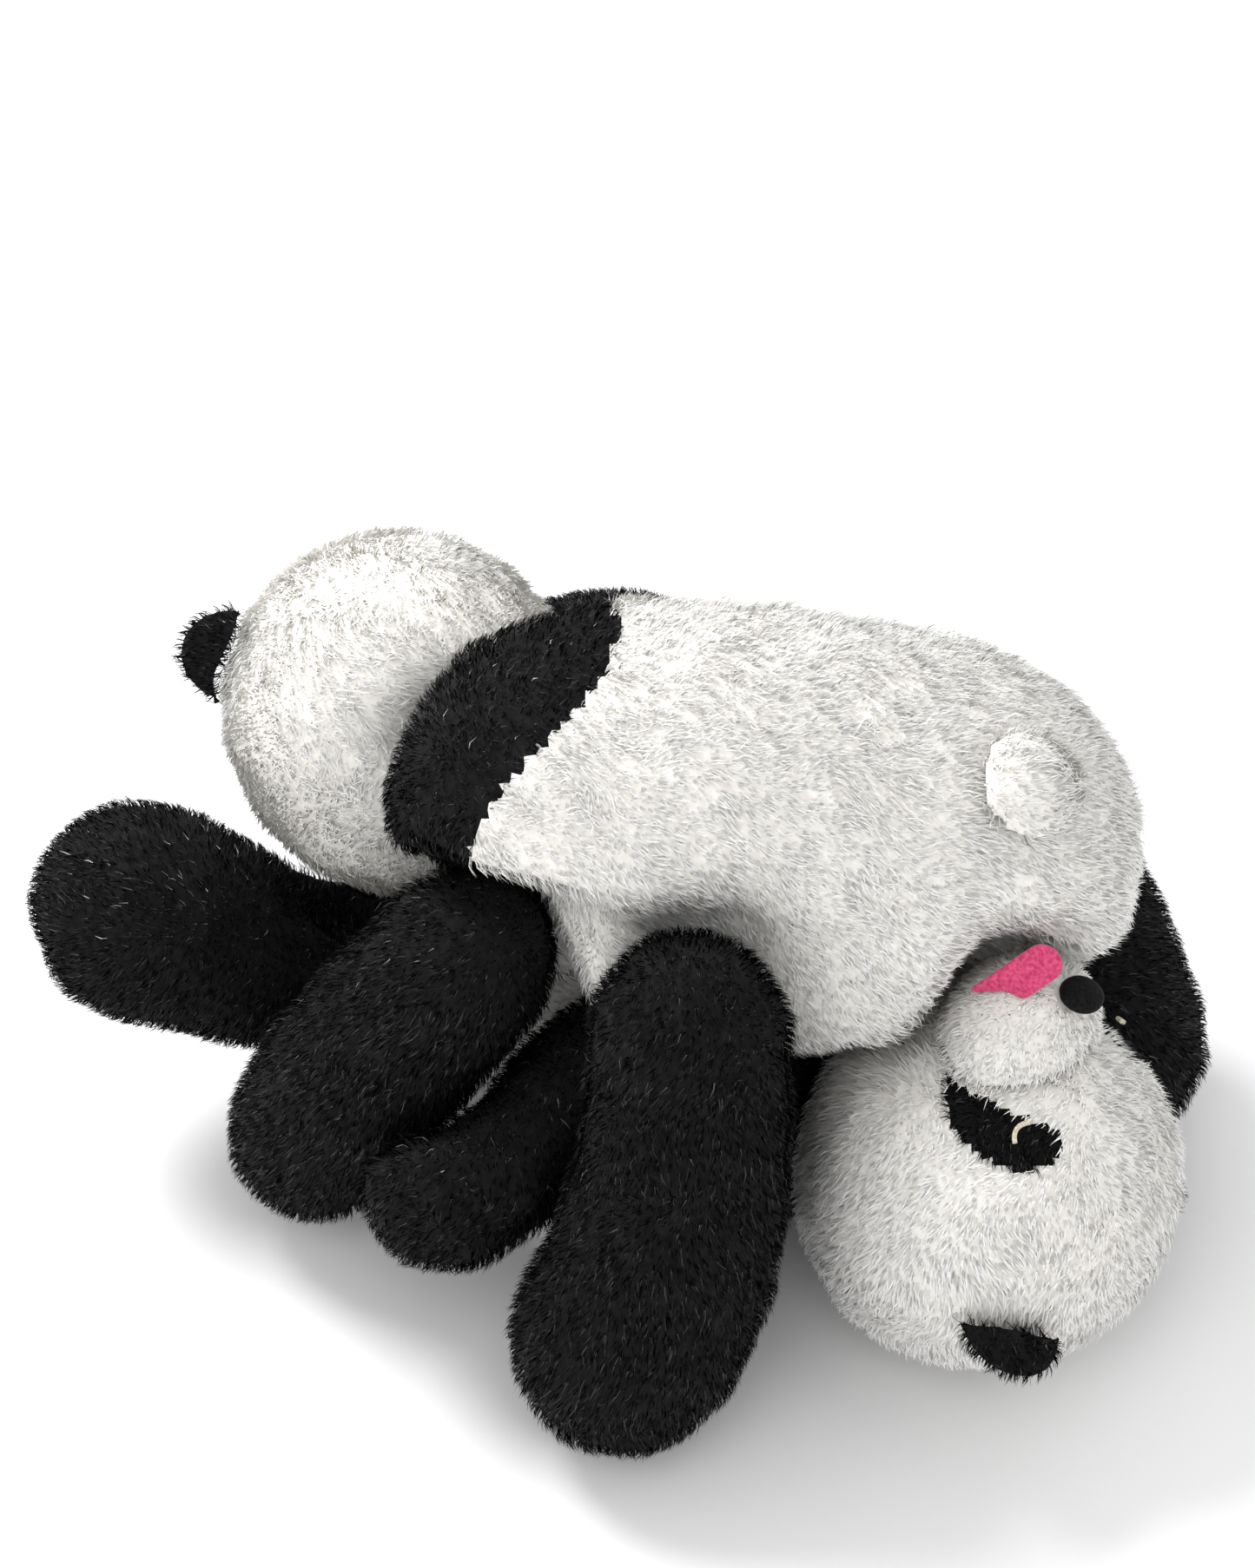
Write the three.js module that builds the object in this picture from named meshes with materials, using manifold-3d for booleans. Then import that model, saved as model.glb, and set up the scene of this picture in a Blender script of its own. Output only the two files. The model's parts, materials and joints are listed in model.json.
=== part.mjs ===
// Two matching plush pandas asleep in a pile: the lower one on its back, the upper one draped over it face
// down. Millimetres, +Z up. Every covering is an open-ended shell of pile fabric round stuffing of its own.
import * as THREE from 'three';
import { mergeVertices } from 'three/addons/utils/BufferGeometryUtils.js';
import Module from 'manifold-3d';

const wasm = await Module();
wasm.setup();

// Driving dimensions.
const WALL = 3; // pile fabric with its backing
const GAP = 0.6; // clearance between pieces that touch
const FILL_INSET = WALL + 3; // stuffing, from the outer surface
const PRESS_GAP = 5; // clearance where one piece dents another
const DENT_GAP = 4.5; // more of it round a limb or a body
const LEAST_ROOM = 8; // a dent leaves at least this much of a form outside its core
const SLIVER = 0.04; // edges shorter than this are closed up after a cut
const THINNEST = 0.1; // share of a form's reach that 1 mm of inset may take
const LONGEST_RIM = 45; // how far a neck's rim may go on to meet the head
const HEAD_RADIUS = 121;
const HEAD_WIDEN = 1.04; // the head is a little wider than it is tall
const HEAD_OPEN_AT = 0.95; // share of the head's axis where the neck hole is
const TORSO_RADII = [95, 122, 136, 138, 137, 134, 124, 96]; // rump to neck
const RUMP_CAP = 0.2; // share of the torso's length that rounds off the rump
const YOKE_START = 0.87; // share of the torso's length where the black yoke begins, at its sides
const YOKE_DIP = 0.075; // how much sooner it begins along the back and the belly
const ARM_RADII = [56, 63, 64, 62, 60, 58]; // paw to shoulder
const LEG_RADII = [74, 76, 72, 66, 63, 62]; // foot to hip
const LIMB_OPEN_AT = 0.988; // share of a limb's length where its stuffing hole is
const FRAME_STEPS = 200; // sections that a limb's turning is worked out at
const LIMB_FLOOR = 1; // a limb lying on the floor clears it by this much
const TAIL = { radius: 37, clearance: 5 };
const EAR = { halfWidth: 38, halfHeight: 42, halfThickness: 14, reach: 118, clearance: 3, swing: 9 };
const EAR_DIRECTION = new THREE.Vector3(0.8, 0.59, -0.1).normalize(); // left ear from the head's centre
const MUZZLE = { half: new THREE.Vector3(66, 47, 52), centre: new THREE.Vector3(0, -24, 103) };
const NOSE = { half: new THREE.Vector3(17, 14, 8), centre: new THREE.Vector3(0, -1, 155) };
const TONGUE = { width: 24, length: 62, thickness: 3, clearance: 2 };
const PATCH_THICKNESS = 3;
const EYE_DIRECTION = new THREE.Vector3(0.56, 0.02, 0.83).normalize(); // left eye from the head's centre
const EYE_PATCH_OUTLINE = [
  [-15, 33], [5, 41], [25, 24], [29, -10], [14, -36], [-9, -46], [-23, -32], [-4, -4],
];
const EYELID = { halfWidth: 8, sag: 4, radius: 1.6, across: 7, up: 16 };
const SEGMENTS = { head: 16, torso: 24, limb: 12 }; // round each stuffed form
const REST_POINT = new THREE.Vector3(28, 78, 0); // middle of the lower torso's floor patch

const WHITE = { color: 0xf3efe6, roughness: 0.95 };
const BLACK = { color: 0x0b0b0d, roughness: 0.9 };
const PINK = { color: 0xc2305e, roughness: 0.85 };
const CREAM = { color: 0xd9cfb8, roughness: 0.8 };
const STUFFING = { color: 0xe8e8e4, roughness: 1 };

const vec = (x, y, z) => new THREE.Vector3(x, y, z);

// Each toy's pose. A list of points is the line that the middle of a piece follows: a torso from rump to
// neck, an arm from paw to shoulder, a leg from foot to hip. A limb's last point is the centre of its root.
const POSES = {
  lower: {
    head: {
      centre: vec(226, -121, 126), crown: vec(0.8, -0.54, -0.25), face: vec(0.317, 0.025, 0.948),
      tongue: { root: vec(31, -46, 132), along: vec(-0.109, 0.397, 0.908), out: vec(0.778, 0.27, 0.564) },
    },
    torso: [vec(-77, 253, 98), vec(-25, 165, 102), vec(30, 80, 104), vec(68, -10, 106), vec(96, -62, 106)],
    squash: 0.86,
    tail: vec(-88, 273, 45),
    arm_left: [
      vec(-168, -131, 124), vec(-128, -136, 134), vec(-88, -130, 148), vec(-46, -112, 162), vec(-8, -86, 172),
    ],
    arm_right: [
      vec(240, 268, 66), vec(226, 220, 68), vec(212, 170, 76), vec(200, 122, 90), vec(188, 76, 104),
    ],
    leg_left: [
      vec(-385, 42, 232), vec(-330, 57, 198), vec(-270, 72, 155), vec(-205, 95, 115), vec(-150, 112, 90),
    ],
    leg_right: [vec(-50, 455, 76), vec(-8, 430, 77), vec(34, 392, 80), vec(68, 342, 86), vec(94, 285, 94)],
  },
  upper: {
    head: {
      centre: vec(-149, 152, 285), crown: vec(-0.855, -0.19, -0.485), face: vec(-0.041, 0.954, -0.3),
      tongue: { root: vec(10, -54, 132), along: vec(0.75, 0.3, 0.5), out: vec(-0.5, 0, 0.8) },
    },
    torso: [
      vec(305, 5, 243), vec(235, -5, 277), vec(150, -10, 306), vec(70, -14, 325), vec(8, -18, 335),
      vec(-48, -10, 342), vec(-100, 22, 346),
    ],
    squash: 1,
    tail: vec(231, -72, 395),
    arm_left: [
      vec(-222, -20, 20), vec(-206, -34, 78), vec(-176, -54, 145), vec(-134, -74, 216), vec(-98, -88, 278),
    ],
    arm_right: [
      vec(-98, 375, 130), vec(-62, 358, 160), vec(-14, 314, 200), vec(24, 248, 238), vec(34, 173, 270),
    ],
    leg_left: [
      vec(-50, -228, 24), vec(-18, -221, 60), vec(12, -212, 106), vec(28, -200, 166), vec(36, -186, 236),
      vec(36, -174, 298),
    ],
    leg_right: [
      vec(330, -22, 66), vec(326, 22, 76), vec(318, 62, 96), vec(304, 98, 128), vec(284, 128, 172),
      vec(260, 142, 226),
    ],
  },
};

function named(name, geometry, look) {
  const mesh = new THREE.Mesh(geometry, new THREE.MeshStandardMaterial({ ...look, metalness: 0 }));
  mesh.name = name;
  return mesh;
}

// manifold-3d solids and back, for the pieces that are cut to the surface they are sewn on.
function toSolid(geometry) {
  const bare = geometry.clone();
  bare.deleteAttribute('normal');
  bare.deleteAttribute('uv');
  const merged = mergeVertices(bare, 1e-3);
  const corners = merged.index.array;
  const kept = [];
  for (let i = 0; i < corners.length; i += 3) {
    const [a, b, c] = [corners[i], corners[i + 1], corners[i + 2]];
    if (a !== b && b !== c && c !== a) kept.push(a, b, c);
  }
  const vertProperties = new Float32Array(merged.attributes.position.array);
  return new wasm.Manifold(new wasm.Mesh({ numProp: 3, vertProperties, triVerts: new Uint32Array(kept) }));
}

function toGeometry(solid) {
  const { vertProperties, triVerts } = solid.simplify(SLIVER).getMesh();
  const geometry = new THREE.BufferGeometry();
  geometry.setAttribute('position', new THREE.BufferAttribute(vertProperties, 3));
  geometry.setIndex(new THREE.BufferAttribute(triVerts, 1));
  geometry.computeVertexNormals();
  return geometry;
}

// A stuffed form: round sections of changing radius along a spine, dented by spheres that press on it and
// flat where it rests on the floor. place(t, angle, inset) is the point inset mm inside its surface at share
// t of the spine. Each point keeps to its own line out of the form's core, so that no two of them cross.
function stuffedForm(shape) {
  const { spine, radii, capStart, capEnd, segments, squash = 1, presses = [], floor = 0 } = shape;
  const curve = new THREE.CatmullRomCurve3(spine, false, 'centripetal');
  const frames = curve.computeFrenetFrames(FRAME_STEPS, false);
  const radiusCurve = new THREE.SplineCurve(radii.map((r, i) => new THREE.Vector2(i, r)));
  const rounding = (along, cap) => (along >= cap ? 1 : Math.sqrt(Math.max(0, 1 - (1 - along / cap) ** 2)));
  const radius = (t) => radiusCurve.getPoint(t).y * rounding(t, capStart) * rounding(1 - t, capEnd);
  const core = (t) => curve.getPointAt(THREE.MathUtils.clamp(t, capStart, 1 - capEnd));

  // How far a line from the core runs before it meets a press or the floor.
  function room(from, direction) {
    const toPresses = presses.map(({ centre, radius: pressRadius }) => {
      const offset = centre.clone().sub(from);
      const along = offset.dot(direction);
      const inside = (pressRadius + PRESS_GAP) ** 2 - offset.lengthSq() + along ** 2;
      return along > 0 && inside > 0 ? along - Math.sqrt(inside) : Infinity;
    });
    const toFloor = direction.z < 0 && floor !== null ? (floor - from.z) / direction.z : Infinity;
    return Math.max(Math.min(toFloor, ...toPresses), LEAST_ROOM);
  }

  function place(t, angle, inset = 0) {
    const tangent = curve.getTangentAt(t);
    const up = shape.up ?? frames.normals[Math.round(t * FRAME_STEPS)];
    const tall = up.clone().addScaledVector(tangent, -up.dot(tangent)).normalize();
    const side = tangent.clone().cross(tall);
    const r = radius(t);
    const point = curve.getPointAt(t).addScaledVector(side, r * Math.cos(angle));
    point.addScaledVector(tall, r * squash * Math.sin(angle));
    const from = core(t);
    const direction = point.clone().sub(from);
    const natural = direction.length();
    direction.normalize();
    const outer = Math.min(natural, room(from, direction));
    const reach = inset > 0 ? Math.max(outer - inset, outer * (1 - inset * THINNEST)) : outer - inset;
    point.copy(from).addScaledVector(direction, reach);
    return t === 1 && shape.landing ? landed(point) : point;
  }

  // The rim of an open end goes on to the ball that it is sewn to.
  function landed(point) {
    const toBall = shape.landing.centre.clone().sub(point);
    const step = toBall.length() - shape.landing.radius - PRESS_GAP;
    return point.addScaledVector(toBall.normalize(), THREE.MathUtils.clamp(step, 0, LONGEST_RIM));
  }

  return { place, radius, core, curve, segments, open: capEnd === 0, shift: shape.shift ?? ((t) => t) };
}

// The rings of points inset mm inside a form's surface, at the given shares of its spine.
function ringsOf(form, shares, inset) {
  const angles = Array.from({ length: form.segments }, (_, j) => (-2 * Math.PI * j) / form.segments);
  return shares.map((t) => angles.map((angle) => form.place(form.shift(t, angle), angle, inset)));
}

// The middle of a ring, which closes it to a disc.
function discCentre(form, ring) {
  const middle = ring.reduce((sum, point) => sum.add(point), vec(0, 0, 0)).divideScalar(ring.length);
  return ring.map(() => (form.open ? form.core(1) : middle));
}

// A lathe's rings with each vertex moved to the given points.
function ringGeometry(rings) {
  const segments = rings[0].length;
  const geometry = new THREE.LatheGeometry(rings.map((ring, i) => new THREE.Vector2(1, i)), segments);
  const { position, uv } = geometry.attributes;
  for (let i = 0; i < position.count; i++) {
    const ring = rings[Math.round(uv.getY(i) * (rings.length - 1))];
    const point = ring[Math.round(uv.getX(i) * segments) % segments];
    position.setXYZ(i, point.x, point.y, point.z);
  }
  return toGeometry(toSolid(geometry));
}

function evenly(from, to, steps) {
  return Array.from({ length: steps + 1 }, (_, i) => from + ((to - from) * i) / steps);
}

const closerAtStart = (to, steps) => evenly(0, Math.PI / 2, steps).map((u) => to * (1 - Math.cos(u)));
const closerAtEnds = (to, steps) => evenly(0, Math.PI, steps).map((u) => (to * (1 - Math.cos(u))) / 2);

// A cover that is closed where its shares start at 0 and open where they end; an open start makes a sleeve.
function cover(form, shares, wall = WALL) {
  const outside = ringsOf(form, shares, 0);
  const inside = ringsOf(form, shares, wall).reverse();
  return ringGeometry([...outside, ...inside, ...(shares[0] === 0 ? [] : [outside[0]])]);
}

// The solid inside a form's surface, flat where it ends at a cover's opening; inset under 0 makes it larger.
function core(form, shares, inset) {
  const rings = ringsOf(form, shares, inset);
  return ringGeometry([...rings, discCentre(form, rings.at(-1))]);
}

function largestBody(solid) {
  return solid.decompose().reduce((kept, body) => (body.volume() > kept.volume() ? body : kept));
}

function stuffing(form, shares) {
  const lining = toSolid(cover(form, shares, WALL + 2 * GAP));
  const filling = toSolid(core(form, shares, FILL_INSET)).subtract(lining);
  return toGeometry(largestBody(filling.simplify(SLIVER)));
}

function ellipsoid({ half, centre }, grow = 0) {
  const ball = new THREE.SphereGeometry(1, 16, 10);
  return ball.scale(half.x + grow, half.y + grow, half.z + grow).translate(centre.x, centre.y, centre.z);
}

// Head pieces, in the head's own frame: +X its left, +Y its crown, +Z its face.
function headFrame({ centre, crown, face }) {
  const up = crown.clone().normalize();
  const out = face.clone().addScaledVector(up, -face.dot(up)).normalize();
  return new THREE.Matrix4().makeBasis(up.clone().cross(out), up, out).setPosition(centre);
}

// The round of the head runs along the line to its neck, so that the neck hole is at the end of it.
function headShape(pose) {
  const neck = pose.torso.at(-1).clone().applyMatrix4(headFrame(pose.head).invert()).setLength(HEAD_RADIUS);
  const form = stuffedForm({
    spine: [neck.clone().negate(), neck],
    radii: [HEAD_RADIUS, HEAD_RADIUS],
    capStart: 0.5,
    capEnd: 0.5,
    floor: null,
    segments: SEGMENTS.head,
  });
  const shares = closerAtEnds(HEAD_OPEN_AT, 10);
  const widened = (geometry) => geometry.scale(HEAD_WIDEN, 1, 1);
  return {
    cover: () => widened(cover(form, shares)),
    fill: () => widened(stuffing(form, shares)),
    grown: (by) => toSolid(widened(core(form, shares, -by))),
  };
}

function eyeFrame(side) {
  const out = vec(side * EYE_DIRECTION.x, EYE_DIRECTION.y, EYE_DIRECTION.z);
  const up = vec(0, 1, 0).addScaledVector(out, -out.y).normalize();
  return new THREE.Matrix4().makeBasis(up.clone().cross(out), up, out);
}

function eyePatch(shape, side) {
  const corners = EYE_PATCH_OUTLINE.map(([x, y]) => new THREE.Vector2(side * x, y));
  const edge = new THREE.SplineCurve([...corners, corners[0]]).getPoints(16);
  const options = { depth: 70, bevelEnabled: false };
  const prism = new THREE.ExtrudeGeometry(new THREE.Shape(edge.slice(0, -1)), options).translate(0, 0, 80);
  prism.applyMatrix4(eyeFrame(side));
  const layer = shape.grown(GAP + PATCH_THICKNESS).subtract(shape.grown(GAP));
  const patch = layer.intersect(toSolid(prism)).subtract(toSolid(ellipsoid(MUZZLE, 2 * GAP)));
  return toGeometry(patch);
}

function eyelid(side) {
  const height = HEAD_RADIUS + GAP + PATCH_THICKNESS + 2 * EYELID.radius;
  const at = (x, y) => vec(side * (EYELID.across + x), EYELID.up + y, height);
  const ends = [at(-EYELID.halfWidth, 0), at(EYELID.halfWidth, 0)];
  const arc = new THREE.QuadraticBezierCurve3(ends[0], at(0, -2 * EYELID.sag), ends[1]);
  const section = new THREE.Shape().absarc(0, 0, EYELID.radius, 0, 2 * Math.PI);
  const thread = new THREE.ExtrudeGeometry(section, { steps: 8, curveSegments: 3, extrudePath: arc });
  return toGeometry(toSolid(thread.applyMatrix4(eyeFrame(side))));
}

function tongue({ root, along, out }) {
  const half = TONGUE.width / 2;
  const outline = new THREE.Shape();
  outline.moveTo(-half, 0);
  outline.lineTo(half, 0);
  outline.lineTo(half, TONGUE.length - half);
  outline.absarc(0, TONGUE.length - half, half, 0, Math.PI);
  const options = { depth: TONGUE.thickness, curveSegments: 8, bevelEnabled: false };
  const flap = new THREE.ExtrudeGeometry(outline, options);
  const lengthwise = along.clone().normalize();
  const facing = out.clone().addScaledVector(lengthwise, -out.dot(lengthwise)).normalize();
  const across = lengthwise.clone().cross(facing);
  flap.applyMatrix4(new THREE.Matrix4().makeBasis(across, lengthwise, facing).setPosition(root));
  return toGeometry(toSolid(flap).subtract(toSolid(ellipsoid(MUZZLE, TONGUE.clearance))));
}

function earCentre(side) {
  return vec(side * EAR_DIRECTION.x, EAR_DIRECTION.y, EAR_DIRECTION.z).multiplyScalar(EAR.reach);
}

function ear(shape, side) {
  const centre = earCentre(side);
  const out = centre.clone().normalize();
  const front = vec(0, 0, 1).addScaledVector(out, -out.z).normalize();
  const lobe = new THREE.SphereGeometry(1, 12, 8).scale(EAR.halfWidth, EAR.halfHeight, EAR.halfThickness);
  lobe.applyMatrix4(new THREE.Matrix4().makeBasis(out.clone().cross(front), out, front).setPosition(centre));
  return toGeometry(toSolid(lobe).subtract(shape.grown(EAR.clearance)));
}

function head(name, pose) {
  const group = new THREE.Group();
  group.applyMatrix4(headFrame(pose.head));
  const shape = headShape(pose);
  const muzzle = toSolid(ellipsoid(MUZZLE)).subtract(shape.grown(GAP));
  const nose = toSolid(ellipsoid(NOSE)).subtract(toSolid(ellipsoid(MUZZLE, GAP)));
  group.add(
    named(`${name}_head_cover`, shape.cover(), WHITE),
    named(`${name}_head_fill`, shape.fill(), STUFFING),
    named(`${name}_muzzle`, toGeometry(muzzle), WHITE),
    named(`${name}_nose`, toGeometry(nose), BLACK),
    named(`${name}_tongue`, tongue(pose.head.tongue), PINK),
  );
  for (const [side, label] of [[1, 'left'], [-1, 'right']]) {
    group.add(
      named(`${name}_ear_${label}`, ear(shape, side), BLACK),
      named(`${name}_eye_patch_${label}`, eyePatch(shape, side), BLACK),
      named(`${name}_eyelid_${label}`, eyelid(side), CREAM),
    );
  }
  return group;
}

// A limb's spine runs on past the centre of its round root by the root's radius.
function limbForm(path, radii, presses) {
  const root = path.at(-1);
  const onward = root.clone().sub(path.at(-2)).normalize();
  const spine = [...path, root.clone().addScaledVector(onward, radii.at(-1))];
  const length = new THREE.CatmullRomCurve3(spine, false, 'centripetal').getLength();
  const [capStart, capEnd] = [radii[0] / length, radii.at(-1) / length];
  return stuffedForm({
    spine, radii, capStart, capEnd, presses, floor: LIMB_FLOOR, segments: SEGMENTS.limb,
  });
}

function limb(name, form, look) {
  const shares = closerAtEnds(LIMB_OPEN_AT, 9);
  const group = new THREE.Group();
  group.add(
    named(`${name}_cover`, cover(form, shares), look),
    named(`${name}_fill`, stuffing(form, shares), STUFFING),
  );
  return group;
}

// Spheres that stand for a form where it presses on another one.
function pressesOf(form, from, to, count) {
  const pressAt = (t) => ({ centre: form.curve.getPointAt(t), radius: form.radius(t) + DENT_GAP });
  return evenly(from, to, count).map(pressAt);
}

const LIMBS = ['arm_left', 'arm_right', 'leg_left', 'leg_right'];
const limbRadii = (name) => (name.startsWith('arm') ? ARM_RADII : LEG_RADII);

function headPresses(pose) {
  const frame = headFrame(pose.head);
  const ball = { centre: pose.head.centre, radius: HEAD_RADIUS * HEAD_WIDEN };
  const muzzle = { centre: MUZZLE.centre.clone().applyMatrix4(frame), radius: MUZZLE.half.x };
  const earRadius = EAR.halfHeight + EAR.swing;
  const ears = [1, -1].map((side) => ({ centre: earCentre(side).applyMatrix4(frame), radius: earRadius }));
  const { root, along } = pose.head.tongue;
  const middle = root.clone().addScaledVector(along, TONGUE.length / 2 / along.length());
  const tip = { centre: middle.applyMatrix4(frame), radius: TONGUE.length / 2 + GAP };
  return [ball, muzzle, ...ears, tip];
}

// The same spheres again further down, so that what they dent can be lifted straight up off them.
function withRoomBelow(presses) {
  const drops = [0, 40, 80];
  const lowered = ({ centre, radius }, drop) => ({ centre: centre.clone().setZ(centre.z - drop), radius });
  return presses.flatMap((press) => drops.map((drop) => lowered(press, drop)));
}

// The seam between the body and the yoke dips towards the rump along the back and the belly.
function dipped(t, angle) {
  const seam = YOKE_START - YOKE_DIP * Math.sin(angle) ** 4;
  return t < YOKE_START ? (t * seam) / YOKE_START : 1 - ((1 - t) * (1 - seam)) / (1 - YOKE_START);
}

function torsoForm(pose, presses) {
  return stuffedForm({
    spine: pose.torso, radii: TORSO_RADII, capStart: RUMP_CAP, capEnd: 0, presses, up: vec(0, 0, 1),
    squash: pose.squash, landing: headPresses(pose)[0], segments: SEGMENTS.torso, shift: dipped,
  });
}

function torso(name, form) {
  const seam = 0.0015;
  const bodyShares = closerAtStart(YOKE_START - seam, 12);
  const yokeShares = evenly(YOKE_START + seam, 1, 3);
  const yoke = toSolid(cover(form, yokeShares)).subtract(toSolid(core(form, bodyShares, -GAP)));
  const group = new THREE.Group();
  group.add(
    named(`${name}_torso_cover`, cover(form, bodyShares), WHITE),
    named(`${name}_yoke_cover`, toGeometry(yoke), BLACK),
    named(`${name}_torso_fill`, stuffing(form, [...bodyShares, ...yokeShares]), STUFFING),
  );
  return group;
}

// A ball cut to the curve of the rump that it is sewn to.
function tail(name, form, pose) {
  const ball = new THREE.SphereGeometry(TAIL.radius, 12, 8).translate(pose.tail.x, pose.tail.y, pose.tail.z);
  const rump = toSolid(core(form, closerAtStart(YOKE_START, 12), -TAIL.clearance));
  return named(name, toGeometry(toSolid(ball).subtract(rump)), WHITE);
}

function limbForms(pose, presses) {
  return Object.fromEntries(LIMBS.map((name) => [name, limbForm(pose[name], limbRadii(name), presses)]));
}

function panda(name, pose, limbs, presses) {
  const group = new THREE.Group();
  const form = torsoForm(pose, presses);
  group.add(torso(name, form), head(name, pose), tail(`${name}_tail`, form, pose));
  for (const limbName of LIMBS) group.add(limb(`${name}_${limbName}`, limbs[limbName], BLACK));
  return group;
}

const rootsOf = (limbs) => LIMBS.flatMap((name) => pressesOf(limbs[name], 0.5, 0.86, 6));

const upperLimbs = limbForms(POSES.upper, withRoomBelow(headPresses(POSES.lower)));
const upperTouches = LIMBS.flatMap((name) => pressesOf(upperLimbs[name], 0.1, 0.86, 8));
const lowerLimbs = limbForms(POSES.lower, [...headPresses(POSES.upper), ...upperTouches]);

const freeLowerLimbs = limbForms(POSES.lower, []);
const upperPresses = [
  ...LIMBS.flatMap((name) => pressesOf(freeLowerLimbs[name], 0.1, 0.86, 8)),
  ...headPresses(POSES.upper),
  ...withRoomBelow(headPresses(POSES.lower)),
  ...rootsOf(upperLimbs),
];
const upperTorso = torsoForm(POSES.upper, upperPresses);
const lowerPresses = [
  ...headPresses(POSES.lower),
  ...headPresses(POSES.upper),
  ...rootsOf(lowerLimbs),
  ...pressesOf(upperTorso, 0.1, 0.95, 10),
  ...upperTouches,
];

const pile = new THREE.Group();
pile.position.copy(REST_POINT).negate();
pile.add(
  panda('lower', POSES.lower, lowerLimbs, lowerPresses),
  panda('upper', POSES.upper, upperLimbs, upperPresses),
);
export default pile;
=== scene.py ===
"""Two matching plush pandas asleep in a pile, the upper one face down over the lower one.

Every stuffed piece is a skin of backing fabric, smoothed from the space that its CAD solid holds, with a pile of
fibre tufts grown on it. Each tuft is a mesh blade. Everything is in metres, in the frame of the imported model.
"""
import json
import math

import bpy
import numpy as np
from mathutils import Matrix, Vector
from mathutils.bvhtree import BVHTree


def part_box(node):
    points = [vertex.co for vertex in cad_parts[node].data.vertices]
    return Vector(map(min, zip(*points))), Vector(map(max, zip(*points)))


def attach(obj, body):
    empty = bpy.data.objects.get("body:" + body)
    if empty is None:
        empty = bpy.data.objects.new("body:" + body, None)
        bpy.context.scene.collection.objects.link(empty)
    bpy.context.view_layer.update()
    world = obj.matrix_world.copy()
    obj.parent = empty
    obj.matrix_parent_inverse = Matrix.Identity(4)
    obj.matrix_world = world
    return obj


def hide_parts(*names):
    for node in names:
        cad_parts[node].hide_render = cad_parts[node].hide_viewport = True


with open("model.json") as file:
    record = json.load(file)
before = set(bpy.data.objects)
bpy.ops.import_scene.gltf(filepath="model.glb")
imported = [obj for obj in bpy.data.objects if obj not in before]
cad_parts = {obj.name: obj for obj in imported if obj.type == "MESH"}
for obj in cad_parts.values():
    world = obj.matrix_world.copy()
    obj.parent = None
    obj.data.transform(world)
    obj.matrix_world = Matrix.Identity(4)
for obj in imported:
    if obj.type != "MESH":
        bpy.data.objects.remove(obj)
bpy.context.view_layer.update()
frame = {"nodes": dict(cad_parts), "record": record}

BODY_OF = {node: body for body, nodes in frame["record"]["behaviour"]["bodies"].items() for node in nodes}
MM = 0.001
VIEW_TARGET, VIEW_ELEVATION, VIEW_DISTANCE = Vector((-0.028, 0.106, 0.2)), math.radians(38), 2.2
FLOOR_SIZE, FLOOR_DROP = 14, 0.5 * MM
TOYS = ("lower", "upper")
LIMBS = ("arm_left", "arm_right", "leg_left", "leg_right")
SIDES = ("left", "right")


# Camera, floor and light.

def camera():
    data = bpy.data.cameras.new("camera")
    data.lens, data.sensor_width = 73, 36
    obj = bpy.data.objects.new("camera", data)
    bpy.context.scene.collection.objects.link(obj)
    back = Vector((0, -math.cos(VIEW_ELEVATION), math.sin(VIEW_ELEVATION)))
    obj.location = VIEW_TARGET + VIEW_DISTANCE * back
    obj.rotation_euler = (VIEW_TARGET - obj.location).to_track_quat("-Z", "Y").to_euler()
    bpy.context.scene.camera = obj


def area_light(name, location, size, power, target=(0, 0.1, 0.2)):
    data = bpy.data.lights.new(name, "AREA")
    data.shape, data.size, data.energy = "DISK", size, power
    obj = bpy.data.objects.new(name, data)
    bpy.context.scene.collection.objects.link(obj)
    obj.location = location
    obj.rotation_euler = (Vector(target) - obj.location).to_track_quat("-Z", "Y").to_euler()


def studio():
    bpy.ops.mesh.primitive_plane_add(size=FLOOR_SIZE, location=(0, 0, -FLOOR_DROP))
    floor = bpy.context.object
    floor.name = "floor"
    floor.data.materials.append(principled("floor_paint", (0.93, 0.93, 0.935), roughness=0.6))
    world = bpy.data.worlds.new("studio")
    world.use_nodes = True
    world.node_tree.nodes["Background"].inputs["Color"].default_value = (1, 1, 1, 1)
    world.node_tree.nodes["Background"].inputs["Strength"].default_value = 0.85
    scene = bpy.context.scene
    scene.world = world
    scene.view_settings.view_transform = "Standard"
    area_light("key", (-1.5, 0.9, 2.8), 1.3, 82)
    area_light("fill", (-0.6, -2.4, 2.4), 2.6, 28)


# Materials.

def principled(name, color, roughness=0.9, specular=0.5, sheen=0.0):
    material = bpy.data.materials.new(name)
    material.use_nodes = True
    sockets = material.node_tree.nodes["Principled BSDF"].inputs
    sockets["Base Color"].default_value = (*color, 1)
    sockets["Roughness"].default_value = roughness
    sockets["Specular IOR Level"].default_value = specular
    sockets["Sheen Weight"].default_value = sheen
    return material


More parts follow.
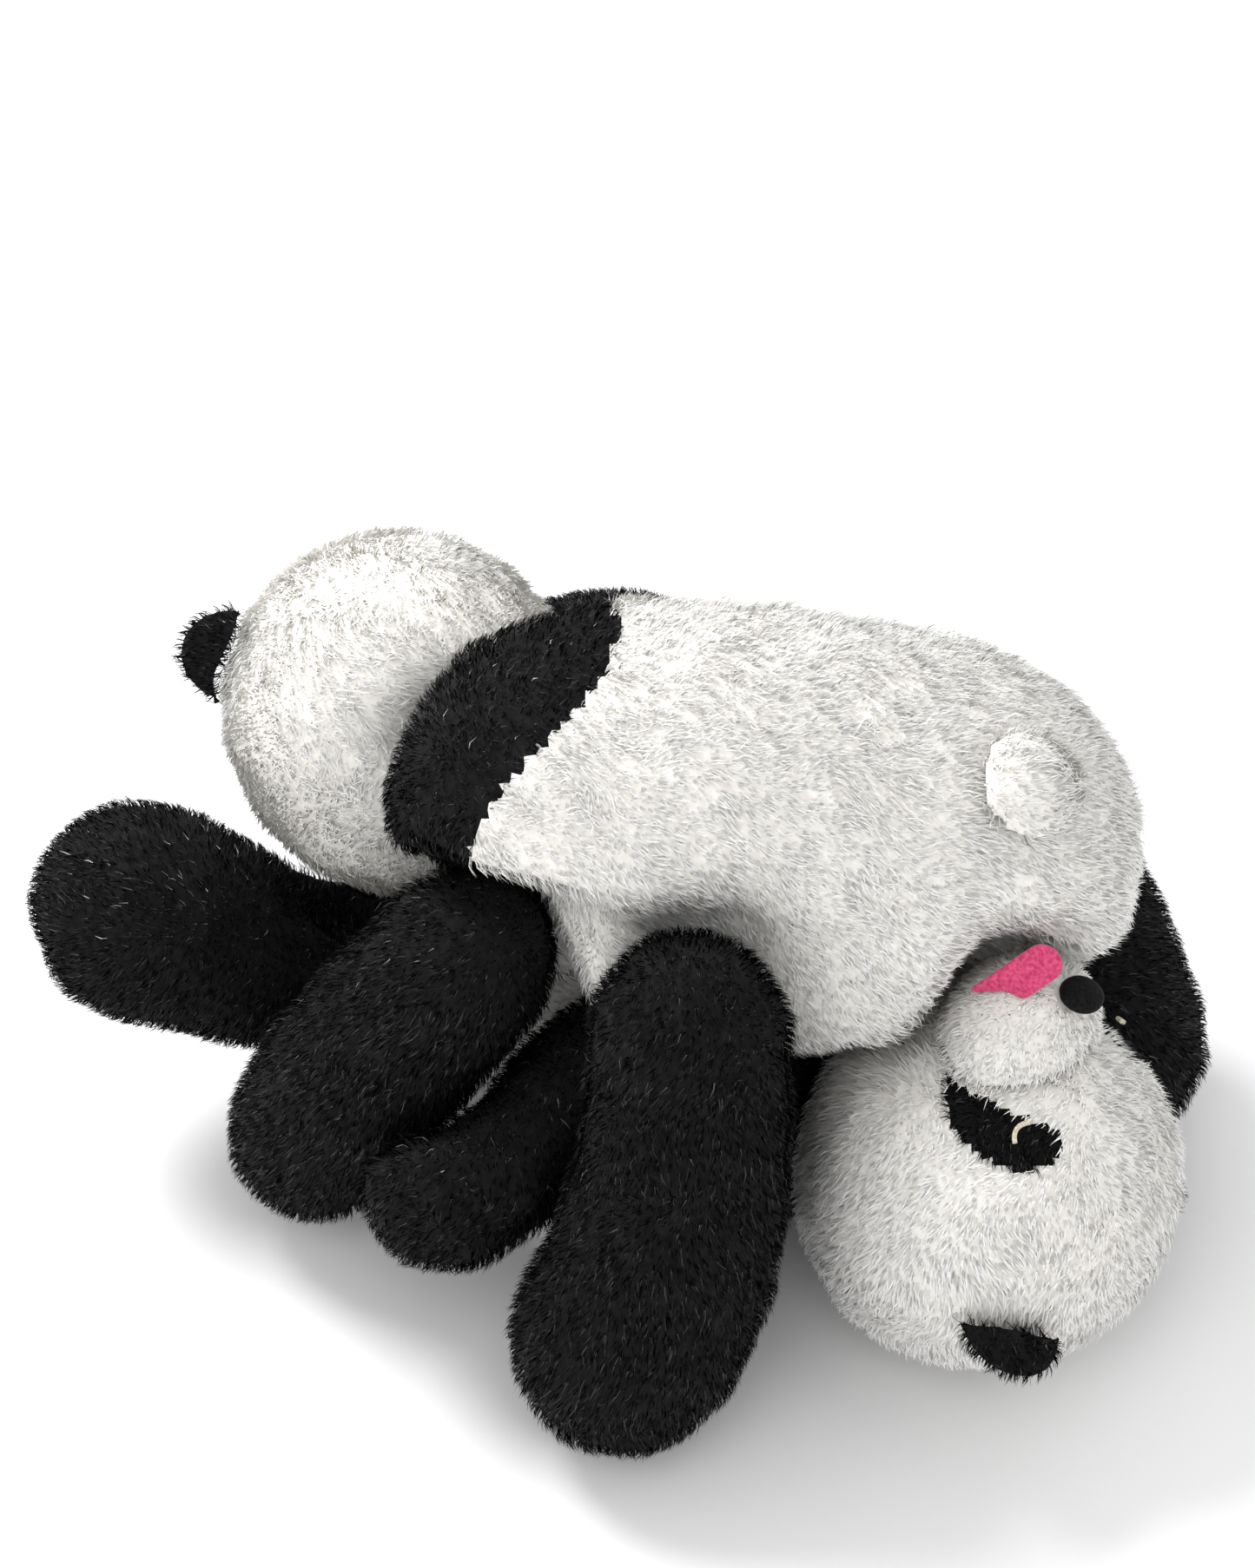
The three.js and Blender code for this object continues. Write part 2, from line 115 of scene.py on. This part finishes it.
def mottled(name, dark, light, scale, bump, roughness=0.95, specular=0.2, sheen=0.0):
    """Fabric whose colour and relief vary with noise of the given scale, in patches per metre."""
    material = principled(name, light, roughness, specular, sheen)
    nodes, links = material.node_tree.nodes, material.node_tree.links
    shader = nodes["Principled BSDF"]
    place = nodes.new("ShaderNodeTexCoord")
    noise = nodes.new("ShaderNodeTexNoise")
    noise.inputs["Scale"].default_value = scale
    noise.inputs["Detail"].default_value = 6
    ramp = nodes.new("ShaderNodeValToRGB")
    ramp.color_ramp.elements[0].position, ramp.color_ramp.elements[1].position = 0.35, 0.68
    ramp.color_ramp.elements[0].color = (*dark, 1)
    ramp.color_ramp.elements[1].color = (*light, 1)
    relief = nodes.new("ShaderNodeBump")
    relief.inputs["Strength"].default_value = bump
    relief.inputs["Distance"].default_value = 1 * MM
    links.new(place.outputs["Object"], noise.inputs["Vector"])
    links.new(noise.outputs["Fac"], ramp.inputs["Fac"])
    links.new(ramp.outputs["Color"], shader.inputs["Base Color"])
    links.new(noise.outputs["Fac"], relief.inputs["Height"])
    links.new(relief.outputs["Normal"], shader.inputs["Normal"])
    return material


WHITE_SKIN = mottled("white_backing", (0.84, 0.81, 0.76), (0.95, 0.94, 0.91), 220, 0.4)
BLACK_SKIN = mottled("black_backing", (0.003, 0.003, 0.0035), (0.009, 0.009, 0.01), 160, 0.6)
PINK_FELT = mottled("pink_felt", (0.5, 0.03, 0.12), (0.78, 0.1, 0.24), 420, 0.5, sheen=0.3)
BLACK_VELVET = mottled("black_velvet", (0.003, 0.003, 0.0035), (0.012, 0.012, 0.013), 520, 0.5, roughness=0.8,
                       specular=0.1)
CREAM_THREAD = mottled("cream_thread", (0.5, 0.42, 0.3), (0.82, 0.76, 0.62), 900, 0.8, roughness=0.7)

# A pile's materials: the fibres' lower part, made darker as painted shade deep in the pile, then three tones for
# their tips.
WHITE_PILE = [
    # The root colour is painted shade: a darker lower part of the fibres.
    principled("white_pile_root_shade", (0.93, 0.915, 0.88), 0.95, 0.1),
    principled("white_pile_tip_a", (0.97, 0.965, 0.95), 0.85, 0.25),
    principled("white_pile_tip_b", (0.98, 0.975, 0.96), 0.85, 0.25),
    principled("white_pile_tip_c", (0.95, 0.935, 0.90), 0.9, 0.2),
]
BLACK_PILE = [
    # The root colour is painted shade: a darker lower part of the fibres.
    principled("black_pile_root_shade", (0.002, 0.002, 0.0024), 0.9, 0.05),
    principled("black_pile_tip_a", (0.003, 0.003, 0.0035), 0.7, 0.15),
    principled("black_pile_tip_b", (0.005, 0.005, 0.006), 0.5, 0.3),
    principled("black_pile_tip_c", (0.01, 0.01, 0.012), 0.28, 0.7),
]


# Each kind's fibres: how far their shading and their flat sides scatter, their size, and their lean in radians.
WHITE_HAIR = {"shine": 0.12, "turn": 0.22, "width": 1.2 * MM, "lean": 1.0, "length": 11 * MM}
BLACK_HAIR = {"shine": 0.7, "turn": 0.7, "width": 0.8 * MM, "lean": 0.9, "length": 9 * MM}


# Skins.

LEAST_HEIGHT = 1 * MM  # of a skin above the floor
LUMPS = ((1.6 * MM, 75 * MM, 7), (0.8 * MM, 30 * MM, 8))  # height, wavelength and seed of the stuffing's lumps


def linked(name, mesh):
    obj = bpy.data.objects.new(name, mesh)
    bpy.context.scene.collection.objects.link(obj)
    return obj


def node_mesh(node):
    return frame["nodes"][node].data


def arrays(mesh):
    """A mesh's points, triangles and vertex normals as arrays."""
    mesh.calc_loop_triangles()
    points = np.empty(len(mesh.vertices) * 3)
    mesh.vertices.foreach_get("co", points)
    triangles = np.empty(len(mesh.loop_triangles) * 3, np.int64)
    mesh.loop_triangles.foreach_get("vertices", triangles)
    normals = np.empty(len(mesh.vertices) * 3, np.float32)
    mesh.vertex_normals.foreach_get("vector", normals)
    return points.reshape(-1, 3), triangles.reshape(-1, 3), normals.reshape(-1, 3).astype(float)


def softened(node, voxel, rounds, lift):
    """A node's solid as one smooth fine mesh, then moved out along its normals by lift. A raised one is lumpy."""
    rough = linked("rough", node_mesh(node).copy())
    remesh = rough.modifiers.new("remesh", "REMESH")
    remesh.mode, remesh.voxel_size = "VOXEL", voxel
    smooth = rough.modifiers.new("smooth", "SMOOTH")
    smooth.factor, smooth.iterations = 0.5, rounds
    mesh = bpy.data.meshes.new_from_object(rough.evaluated_get(bpy.context.evaluated_depsgraph_get()))
    bpy.data.objects.remove(rough)
    points, _, normals = arrays(mesh)
    lumps = sum(height * waves(points, wavelength, seed)[:, :1] for height, wavelength, seed in LUMPS)
    points += normals * (lift + (lumps if lift > 0 else 0))
    points[:, 2] = np.maximum(points[:, 2], LEAST_HEIGHT)
    mesh.vertices.foreach_set("co", points.ravel())
    mesh.update()
    return mesh


def part_of(mesh, name, wanted):
    """The faces of a mesh that wanted picks, from their centres and normals, as a new mesh."""
    chosen = [p for p in mesh.polygons if wanted(p.center, p.normal)]
    corners = sorted({v for p in chosen for v in p.vertices})
    place = {v: i for i, v in enumerate(corners)}
    piece = bpy.data.meshes.new(name)
    piece.from_pydata(
        [mesh.vertices[v].co for v in corners], [], [[place[v] for v in p.vertices] for p in chosen]
    )
    piece.update()
    return piece


def tree_of(node):
    points, triangles, _ = arrays(node_mesh(node))
    return BVHTree.FromPolygons([Vector(p) for p in points], triangles.tolist())


# Pile.

CLUMP = 8 * MM  # the fibres of one clump stand about this close together
DRIFTS = ((0.5, 110 * MM, 1), (0.25, 32 * MM, 2))  # strength, wavelength and seed step of the swirls in the lie
STRAY = 0.2  # how far single fibres leave that lie
TONE_SHARES = [0.5, 0.3, 0.2]
SHADED_ROOT_SHARE = 0.6  # of the fibres whose lower part has the root's darker look, which is painted shade deep in the pile


def unit(vectors):
    return vectors / np.maximum(np.linalg.norm(vectors, axis=1, keepdims=True), 1e-9)


def flattened(vectors, normals):
    """The part of each vector that lies in the surface."""
    return vectors - normals * (vectors * normals).sum(1, keepdims=True)


def waves(points, wavelength, seed):
    """A smooth vector field that wanders over about one wavelength."""
    rng = np.random.default_rng(seed)
    field = np.zeros_like(points)
    for _ in range(6):
        direction = rng.normal(size=3)
        direction *= 2 * math.pi / wavelength / np.linalg.norm(direction) * rng.uniform(0.6, 1.5)
        field += np.sin(points @ direction + rng.uniform(0, 2 * math.pi))[:, None] * rng.normal(size=3)
    return field / 3


def scattered(mesh, spacing, rng):
    points, triangles, normals = arrays(mesh)
    a, b, c = (points[triangles[:, k]] for k in range(3))
    area = np.linalg.norm(np.cross(b - a, c - a), axis=1) / 2
    count = int(area.sum() / spacing**2)
    pick = rng.choice(len(triangles), count, p=area / area.sum())
    u, v = np.sqrt(rng.random(count)), rng.random(count)
    share = np.stack([1 - u, u * (1 - v), u * v], 1)[:, :, None]
    corners = triangles[pick]
    return (points[corners] * share).sum(1), unit((normals[corners] * share).sum(1))


def pile(name, mesh, looks, flow, length, width, lean, shine, turn, keep=None, spacing=2.6 * MM, seed=1):
    """Fibre tufts on a skin, where keep(root, normal) holds: curved blades that lean along flow(points) and gather
    at their tips in clumps."""
    rng = np.random.default_rng(seed)
    roots, normals = scattered(mesh, spacing, rng)
    if keep:
        kept = [keep(Vector(root), Vector(normal)) for root, normal in zip(roots, normals)]
        roots, normals = roots[kept], normals[kept]
    count = len(roots)
    drift = flow(roots)
    for strength, wavelength, step in DRIFTS:
        drift = drift + strength * waves(roots, wavelength, seed + step)
    drift = drift + STRAY * rng.normal(size=(count, 3))
    along = unit(flattened(drift, normals))
    wandered = roots + 3 * MM * waves(roots, 18 * MM, seed + 3)
    to_clump = flattened((np.floor(wandered / CLUMP) + 0.5) * CLUMP - wandered, normals)
    reach = length * rng.uniform(0.7, 1.12, (count, 1)) * (1 + 0.16 * waves(roots, 40 * MM, seed + 4)[:, :1])
    tilt = lean * rng.uniform(0.75, 1.2, (count, 1))
    middle = roots + reach * 0.5 * (normals * np.cos(tilt * 0.6) + along * np.sin(tilt * 0.6)) + 0.2 * to_clump
    tip = middle + reach * 0.55 * (normals * np.cos(tilt * 1.25) + along * np.sin(tilt * 1.25)) + 0.45 * to_clump
    roll = unit(normals + turn * rng.normal(size=(count, 3)))
    side = unit(np.cross(tip - roots, roll)) * width * rng.uniform(0.6, 1.2, (count, 1)) / 2
    points = np.stack([roots - side, roots + side, middle + side * 0.8, middle - side * 0.8, tip], 1)
    points[..., 2] = np.maximum(points[..., 2], 0)

    piece = blades(name, points)
    tone = rng.choice([1, 2, 3], count, p=TONE_SHARES)
    # Slot 0 is the darker root material: painted shade on the lower part of these fibres.
    slots = np.stack([np.where(rng.random(count) < SHADED_ROOT_SHARE, 0, tone), tone], 1)
    piece.polygons.foreach_set("material_index", slots.ravel().astype(np.int32))
    piece.update(calc_edges=True)
    for look in looks:
        piece.materials.append(look)
    facing = unit(normals + 0.35 * along + shine * rng.normal(size=(count, 3)))
    piece.polygons.foreach_set("use_smooth", np.ones(count * 2, bool))
    piece.normals_split_custom_set_from_vertices(np.repeat(facing, 5, axis=0).tolist())
    return linked(name, piece)


def blades(name, points):
    """A mesh of one blade for each row of five points: a four-sided lower part and a pointed tip."""
    count = len(points)
    piece = bpy.data.meshes.new(name)
    piece.vertices.add(count * 5)
    piece.vertices.foreach_set("co", points.ravel())
    first = np.arange(count)[:, None] * 5
    corners = np.concatenate([first + [0, 1, 2, 3], first + [3, 2, 4]], 1)
    piece.loops.add(count * 7)
    piece.loops.foreach_set("vertex_index", corners.ravel().astype(np.int32))
    starts = (np.arange(count)[:, None] * 7 + [0, 4]).ravel()
    piece.polygons.add(count * 2)
    piece.polygons.foreach_set("loop_start", starts.astype(np.int32))
    return piece


def furred(name, mesh, kind, nodes, flow, seed, fill=0.7, whole=None, **hair):
    """A stuffed piece: its skin, which stands for CAD nodes, and the pile on it, both on the nodes' body. The pile
    grows on the skin, or on a whole one that the skin is a part of."""
    white = kind == "white"
    mesh.materials.clear()
    mesh.materials.append(WHITE_SKIN if white else BLACK_SKIN)
    mesh.polygons.foreach_set("use_smooth", np.ones(len(mesh.polygons), bool))
    skin = linked(f"{name}_skin", mesh)
    for key, value in (WHITE_HAIR if white else BLACK_HAIR).items():
        hair.setdefault(key, value)
    fibres = pile(f"{name}_pile", whole or mesh, WHITE_PILE if white else BLACK_PILE, flow, seed=seed, **hair)
    for obj in (skin, fibres):
        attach(obj, BODY_OF[nodes[0]])
    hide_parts(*nodes)
    return skin


def middle_of(node):
    low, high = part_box(node)
    return np.array((low + high) / 2)


def towards(direction):
    return lambda points: np.tile(np.array(direction, float), (len(points), 1))


def away_from(centre, droop=0.0):
    return lambda points: unit(points - np.array(centre)) + np.array([0, 0, -droop])


def make_body(toy, seed):
    """The white body and the black yoke, which share one skin and part at the seam between their covers."""
    whole = softened(f"{toy}_torso_fill", 7 * MM, 14, 2 * MM)
    white, black = tree_of(f"{toy}_torso_cover"), tree_of(f"{toy}_yoke_cover")

    def is_white(point, _):
        return white.find_nearest(point)[3] < black.find_nearest(point)[3]

    def is_black(point, _):
        return not is_white(point, _)

    spine = middle_of(f"{toy}_torso_cover") - middle_of(f"{toy}_yoke_cover")
    flow = lambda points: towards(unit(spine[None])[0] + np.array([0, 0, -0.35]))(points)
    for k, (piece, kind, wanted) in enumerate((("torso", "white", is_white), ("yoke", "black", is_black))):
        mesh = part_of(whole, f"{toy}_{piece}", wanted)
        nodes = [f"{toy}_{piece}_cover"] + ([f"{toy}_torso_fill"] if piece == "torso" else [])
        furred(f"{toy}_{piece}", mesh, kind, nodes, flow, seed + k, whole=whole, keep=wanted)


def make_limb(toy, limb, seed):
    mesh = softened(f"{toy}_{limb}_fill", 6 * MM, 12, 2 * MM)
    flow = away_from(middle_of(f"{toy}_torso_fill"), droop=0.4)
    furred(f"{toy}_{limb}", mesh, "black", [f"{toy}_{limb}_cover", f"{toy}_{limb}_fill"], flow, seed)


def make_head(toy, seed):
    """The head with its muzzle, eye patches, ears, nose and tongue; the patches are let into the head's skin."""
    whole = softened(f"{toy}_head_fill", 6 * MM, 12, 2 * MM)
    nose = middle_of(f"{toy}_nose")
    centre = middle_of(f"{toy}_head_fill")
    flow = away_from(nose, droop=0.25)
    patches = {side: tree_of(f"{toy}_eye_patch_{side}") for side in SIDES}

    def under(tree):
        return lambda point, normal: tree.ray_cast(point, normal, 14 * MM)[0] is not None

    def bare(point, normal):
        return not any(under(tree)(point, normal) for tree in patches.values())

    for k, side in enumerate(SIDES):
        wanted = under(patches[side])
        mesh = part_of(whole, f"{toy}_eye_patch_{side}", wanted)
        furred(f"{toy}_eye_patch_{side}", mesh, "black", [f"{toy}_eye_patch_{side}"], flow, seed + k,
               whole=whole, keep=wanted, length=8 * MM, spacing=1.7 * MM)
    mesh = part_of(whole, f"{toy}_head", bare)
    furred(f"{toy}_head", mesh, "white", [f"{toy}_head_cover", f"{toy}_head_fill"], flow, seed + 2, fill=0.9,
           whole=whole, keep=bare)
    muzzle = softened(f"{toy}_muzzle", 4 * MM, 4, -1.5 * MM)
    furred(f"{toy}_muzzle", muzzle, "white", [f"{toy}_muzzle"], flow, seed + 3, length=7 * MM, spacing=2.1 * MM)
    for k, side in enumerate(SIDES):
        ear = softened(f"{toy}_ear_{side}", 3.5 * MM, 4, -4 * MM)
        furred(f"{toy}_ear_{side}", ear, "black", [f"{toy}_ear_{side}"], away_from(centre), seed + 4 + k,
               length=9 * MM, spacing=2.2 * MM)
    for part, voxel, look, slot in (("nose", 1.5 * MM, BLACK_VELVET, "black_felt"),
                                    ("tongue", 1.2 * MM, PINK_FELT, "pink_felt")):
        piece = linked(f"{toy}_{part}_felt", softened(f"{toy}_{part}", voxel, 3, 0))
        piece.data.materials.clear()
        piece.data.materials.append(look)
        piece.data.polygons.foreach_set("use_smooth", np.ones(len(piece.data.polygons), bool))
        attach(piece, BODY_OF[f"{toy}_{part}"])
        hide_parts(f"{toy}_{part}")
    for side in SIDES:
        thread = frame["nodes"][f"{toy}_eyelid_{side}"]
        thread.data.materials.clear()
        thread.data.materials.append(CREAM_THREAD)


def make_tail(toy, seed):
    mesh = softened(f"{toy}_tail", 4 * MM, 6, -1 * MM)
    furred(f"{toy}_tail", mesh, "white", [f"{toy}_tail"], away_from(middle_of(f"{toy}_torso_fill")), seed)


camera()
studio()
for t, toy in enumerate(TOYS):
    make_body(toy, 100 + 50 * t)
    make_head(toy, 110 + 50 * t)
    for k, limb in enumerate(LIMBS):
        make_limb(toy, limb, 120 + 50 * t + 3 * k)
    make_tail(toy, 140 + 50 * t)
